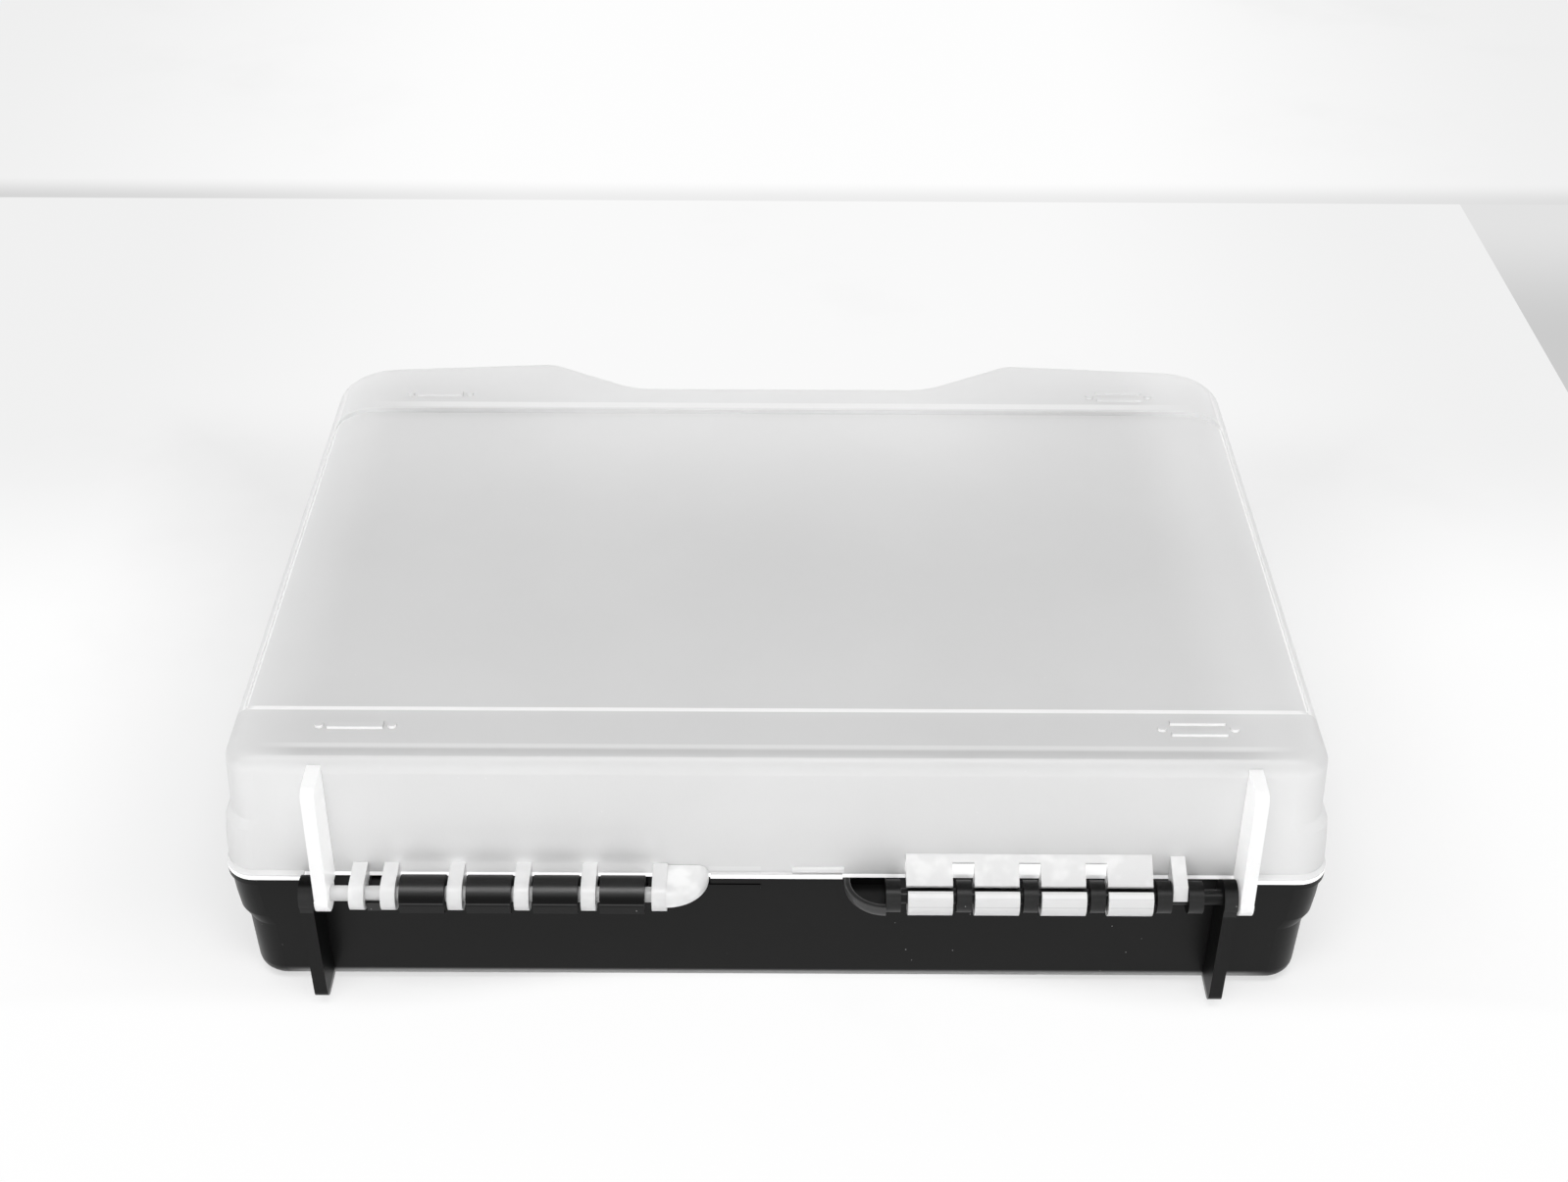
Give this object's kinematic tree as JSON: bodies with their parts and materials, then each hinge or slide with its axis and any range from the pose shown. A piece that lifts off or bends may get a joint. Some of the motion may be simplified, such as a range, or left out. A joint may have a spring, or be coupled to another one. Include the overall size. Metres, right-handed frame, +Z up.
{
  "type": "saw blade storage case",
  "caption": "Flat hinged plastic storage case, black base with frosted lid of the same moulding, snap hinge, standing feet, recessed hand grip and slide latches",
  "frame": {"origin": "bottom centre of the closed case, on the surface it lies on", "axes": "+Z up, the hinge side faces -Y, the hand grip faces +Y, +X to the right seen from the hinge side"},
  "size_m": [0.3084, 0.2514, 0.0836],
  "materials": {
    "base_plastic": "satin moulded black",
    "lid_plastic": "frosted, translucent natural",
    "latch_plastic": "satin moulded black"
  },
  "bodies": {
    "base": {"base_tray": "base_plastic", "base_rim_lip": "base_plastic", "base_hinge_rod": "base_plastic", "base_hinge_knuckles": "base_plastic", "base_hinge_clips": "base_plastic", "base_clip_plate": "base_plastic", "base_rod_stop": "base_plastic", "base_rod_scoop": "base_plastic", "base_inner_foot": "base_plastic", "base_outer_foot": "base_plastic", "base_stacking_marks": "base_plastic", "base_handle": "base_plastic", "base_latch_rails": "base_plastic"},
    "lid": {"lid_cover": "lid_plastic", "lid_rim_lip": "lid_plastic", "lid_hinge_rod": "lid_plastic", "lid_hinge_knuckles": "lid_plastic", "lid_hinge_clips": "lid_plastic", "lid_clip_plate": "lid_plastic", "lid_rod_stop": "lid_plastic", "lid_rod_scoop": "lid_plastic", "lid_inner_foot": "lid_plastic", "lid_outer_foot": "lid_plastic", "lid_stacking_marks": "lid_plastic", "lid_handle": "lid_plastic", "lid_latch_rails": "lid_plastic"},
    "latch_left": {"latch_left": "latch_plastic"},
    "latch_right": {"latch_right": "latch_plastic"}
  },
  "joints": [
    {"name": "lid_hinge", "type": "hinge", "parent": "base", "child": "lid", "pos_m": [0, -0.12035, 0.0418], "axis": [1, 0, 0], "range_deg": [0, 180]},
    {"name": "latch_left_slide", "type": "slide", "parent": "base", "child": "latch_left", "axis": [-1, 0, 0], "range_m": [0, 0.0188]},
    {"name": "latch_right_slide", "type": "slide", "parent": "lid", "child": "latch_right", "axis": [1, 0, 0], "range_m": [0, 0.0188]}
  ]
}
